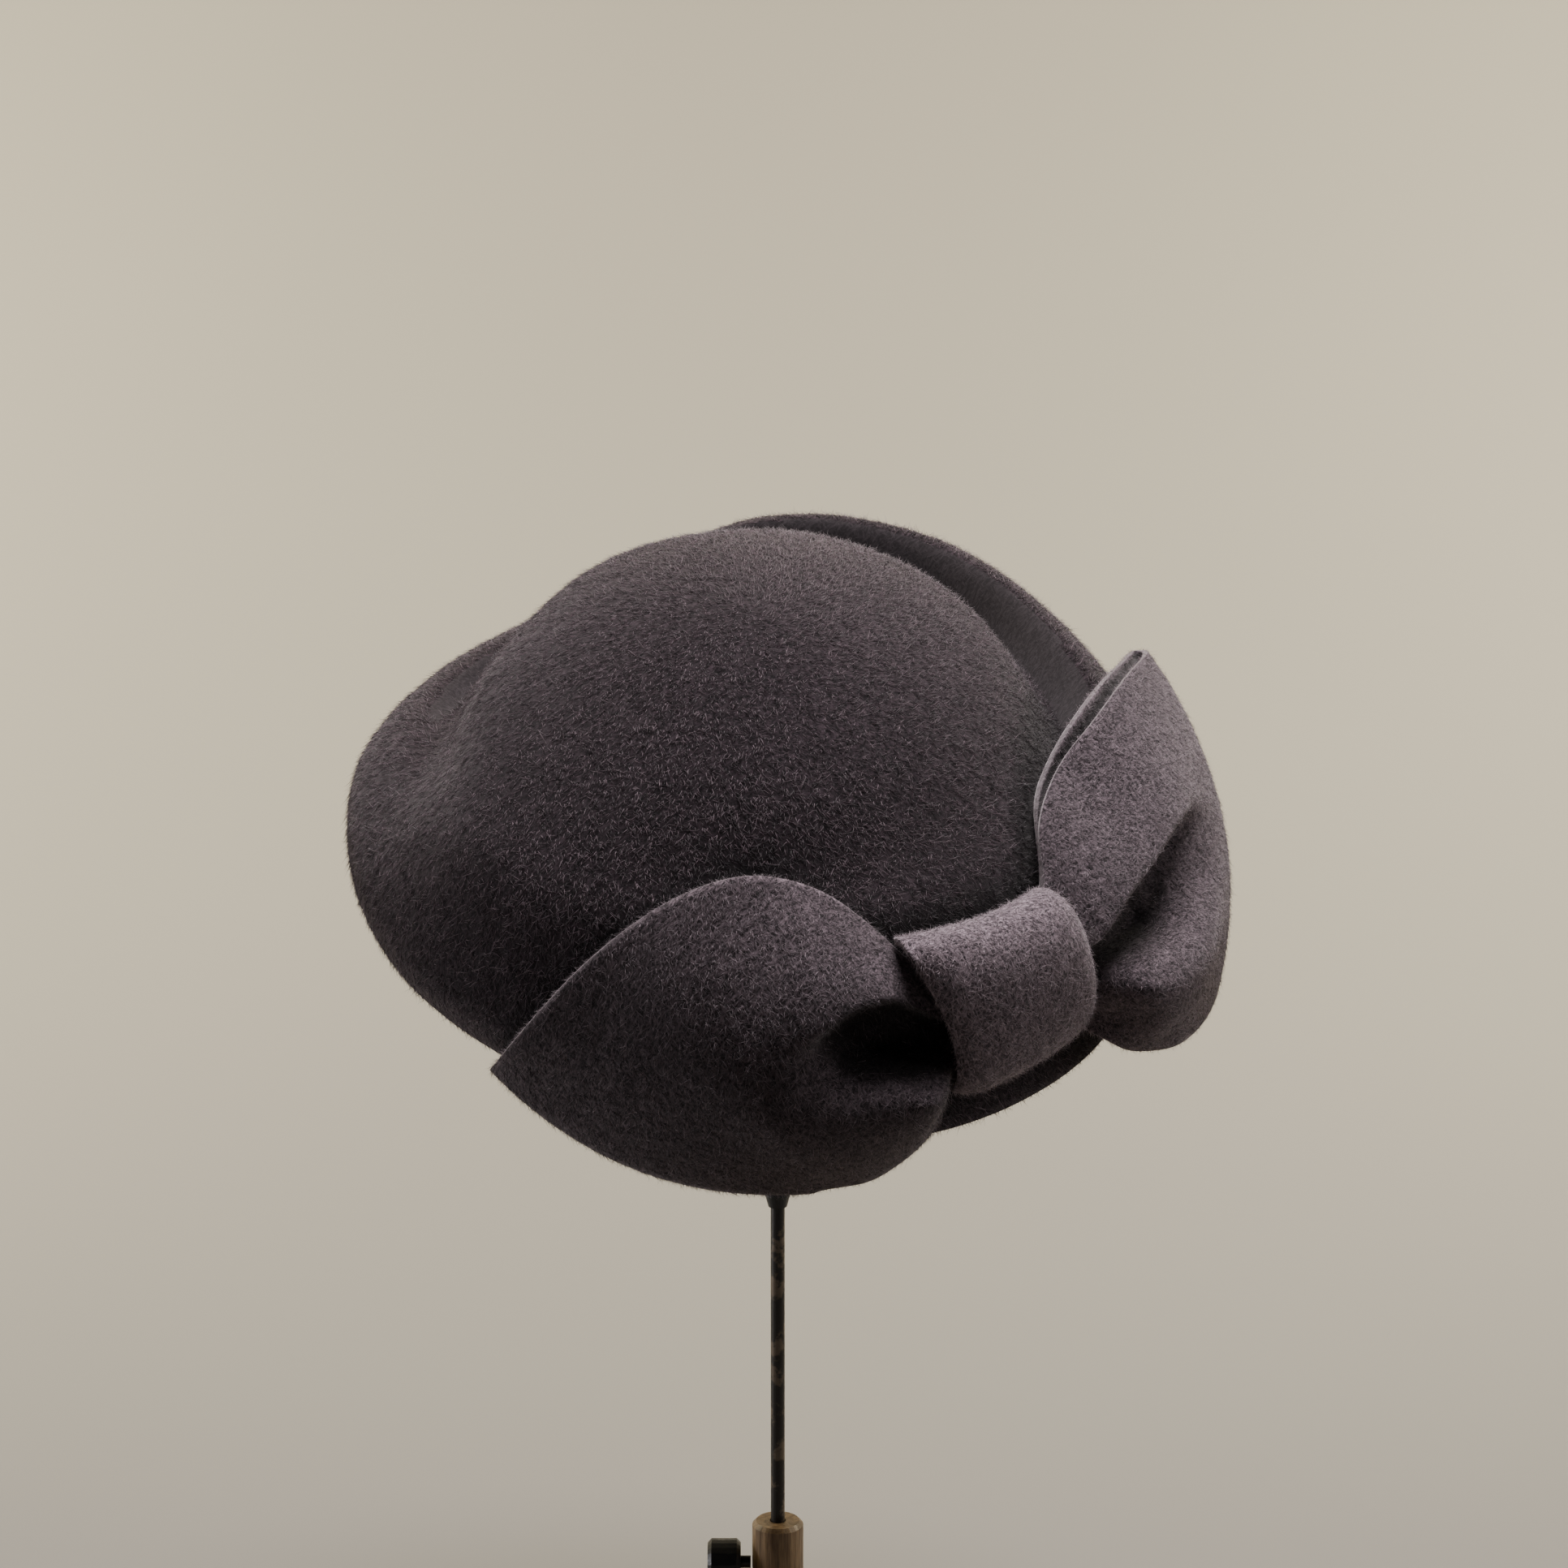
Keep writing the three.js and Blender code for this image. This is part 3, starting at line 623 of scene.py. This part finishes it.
wood_grain, given, result = new_group(
    "wood_grain",
    {"Vector": ("NodeSocketVector", None), "Along": ("NodeSocketVector", (1.0, 1.0, 0.08))},
    {"Grain": "NodeSocketFloat", "Pores": "NodeSocketFloat"},
)
drawn = put(wood_grain, "ShaderNodeVectorMath", {"operation": "MULTIPLY"}, i0=given["Vector"], i1=given["Along"])
streaks = put(wood_grain, "ShaderNodeTexNoise", Vector=drawn.outputs[0], Scale=420.0, Detail=5.0, Roughness=0.55,
              Distortion=0.6)
pores = put(wood_grain, "ShaderNodeTexNoise", Vector=drawn.outputs[0], Scale=2600.0, Detail=2.0, Roughness=0.6)
plug(wood_grain, result, Grain=streaks.outputs["Fac"], Pores=pores.outputs["Fac"])


def wood_material(name, along):
    """Beech whose grain runs along the axis that is drawn out the most."""
    material, tree, shader = new_material(name)
    grain = use_group(tree, wood_grain, Along=along)
    ramp = put(tree, "ShaderNodeValToRGB", Fac=grain["Grain"])
    for element, (value, colour) in zip(ramp.color_ramp.elements, WOOD_RAMP):
        element.position, element.color = value, colour
    pored = put(tree, "ShaderNodeMapRange", i0=grain["Pores"], i1=0.35, i2=0.55, i3=0.72, i4=1.0)
    coloured = put(tree, "ShaderNodeVectorMath", {"operation": "SCALE"}, i0=ramp.outputs["Color"],
                   Scale=pored.outputs[0])
    rough = put(tree, "ShaderNodeMapRange", i0=grain["Grain"], i1=0.3, i2=0.7, i3=0.5, i4=0.36)
    raised = put(tree, "ShaderNodeBump", Strength=0.25, Distance=0.2 * MM, Height=grain["Pores"])
    plug(tree, shader, Base_Color=coloured.outputs[0], Roughness=rough.outputs[0],
         Normal=raised.outputs["Normal"])
    return material


wood_upright = wood_material("beech_upright", (1.0, 1.0, 0.08))
wood_lying = wood_material("beech_lying", (0.08, 1.0, 1.0))
print("wood materials:", wood_upright.name, wood_lying.name)

# %% [markdown]
# ## Worn paint
# The rod was painted and has been handled: the dark coat has worn through in patches to a brown, duller
# metal. Wear that follows the edges suits a box, but a thin rod has none, so here it follows a noise. One
# group makes the mask of wear, and each material gives it its own scale and amount.

# %% Worn paint group and metal materials
WEAR_EDGE = 0.09  # how far the noise rises from whole paint to bare metal

worn_paint, given, result = new_group(
    "worn_paint",
    {"Vector": ("NodeSocketVector", None), "Patches per metre": ("NodeSocketFloat", 150.0),
     "Worn from": ("NodeSocketFloat", 0.5)},
    {"Wear": "NodeSocketFloat", "Grit": "NodeSocketFloat"},
)
patches = put(worn_paint, "ShaderNodeTexNoise", Vector=given["Vector"], Scale=given["Patches per metre"],
              Detail=4.0, Roughness=0.65)
limit = put(worn_paint, "ShaderNodeMath", {"operation": "ADD"}, i0=given["Worn from"], i1=WEAR_EDGE)
wear = put(worn_paint, "ShaderNodeMapRange", {"interpolation_type": "SMOOTHSTEP"}, i0=patches.outputs["Fac"],
           i1=given["Worn from"], i2=limit.outputs[0], i3=0.0, i4=1.0)
grit = put(worn_paint, "ShaderNodeTexNoise", Vector=given["Vector"], Scale=1500.0, Detail=3.0)
plug(worn_paint, result, Wear=wear.outputs[0], Grit=grit.outputs["Fac"])


def metal_material(name, paint, bare, patches, worn_from, rough, metallic):
    """Painted metal, worn through to its bare colour in patches."""
    material, tree, shader = new_material(name)
    worn = use_group(tree, worn_paint, Patches_per_metre=patches, Worn_from=worn_from)
    colour = put(tree, "ShaderNodeMix", {"data_type": "RGBA"}, i0=worn["Wear"], i6=(*paint, 1), i7=(*bare, 1))
    roughness = put(tree, "ShaderNodeMapRange", i0=worn["Grit"], i1=0.3, i2=0.7, i3=rough - 0.08, i4=rough + 0.1)
    raised = put(tree, "ShaderNodeBump", Strength=0.3, Distance=0.2 * MM, Height=worn["Grit"])
    plug(tree, shader, Base_Color=colour.outputs[2], Roughness=roughness.outputs[0],
         Normal=raised.outputs["Normal"], Metallic=metallic)
    return material


rod_worn = metal_material("rod_worn_paint", (0.022, 0.019, 0.016), (0.115, 0.088, 0.062), patches=135.0,
                          worn_from=0.5, rough=0.42, metallic=0.35)
black_fitting = metal_material("black_fitting", (0.012, 0.012, 0.013), (0.035, 0.034, 0.033), patches=300.0,
                               worn_from=0.58, rough=0.4, metallic=0.2)
print("metal materials:", rod_worn.name, black_fitting.name)

# %% [markdown]
# ## Dress the stand
# The stand's solids are already the right shape, and turned wood and drawn rod are smooth and plain. They
# could be copied and subdivided as the felt was, but that would only add faces. So they stay as they are and
# only their material slots change. The round foot's grain lies flat, and the upright pieces have theirs
# running up.

# %% Stand materials
STAND = {"stand_rod": rod_worn, "stand_collar": black_fitting, "stand_screw": black_fitting,
         "stand_post": wood_upright, "stand_foot": wood_lying, "stand_head": wood_upright}
for node, material in STAND.items():
    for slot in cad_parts[node].material_slots:
        slot.material = material
print("stand dressed:", sorted(STAND))

# %% [markdown]
# ## The sweep's paper
# Pale, matt and plain. One flat colour would look like a computer's, so the paper has the faintest
# cloudiness, too weak to be seen as a pattern.

# %% Paper material
paper, tree, shader = new_material("sweep_paper")
place = put(tree, "ShaderNodeTexCoord")
cloud = put(tree, "ShaderNodeTexNoise", Vector=place.outputs["Object"], Scale=2.2, Detail=2.0)
shade = put(tree, "ShaderNodeMix", {"data_type": "RGBA"}, i0=cloud.outputs["Fac"], i6=(0.250, 0.235, 0.215, 1),
            i7=(0.266, 0.251, 0.230, 1))
plug(tree, shader, Base_Color=shade.outputs[2], Roughness=0.9, Specular_IOR_Level=0.1)
sweep.data.materials.append(paper)
print("paper:", paper.name)

# %% [markdown]
# ## Tie the pieces to the frame
# Every piece rides on the root body, and each felt skin takes the place of the CAD solid that it stands for,
# which is hidden.

# %% Ride and replace
for node, piece in felt_pieces.items():
    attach(piece, "root")
    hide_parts(node)
for piece in nap_pieces:
    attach(piece, "root")
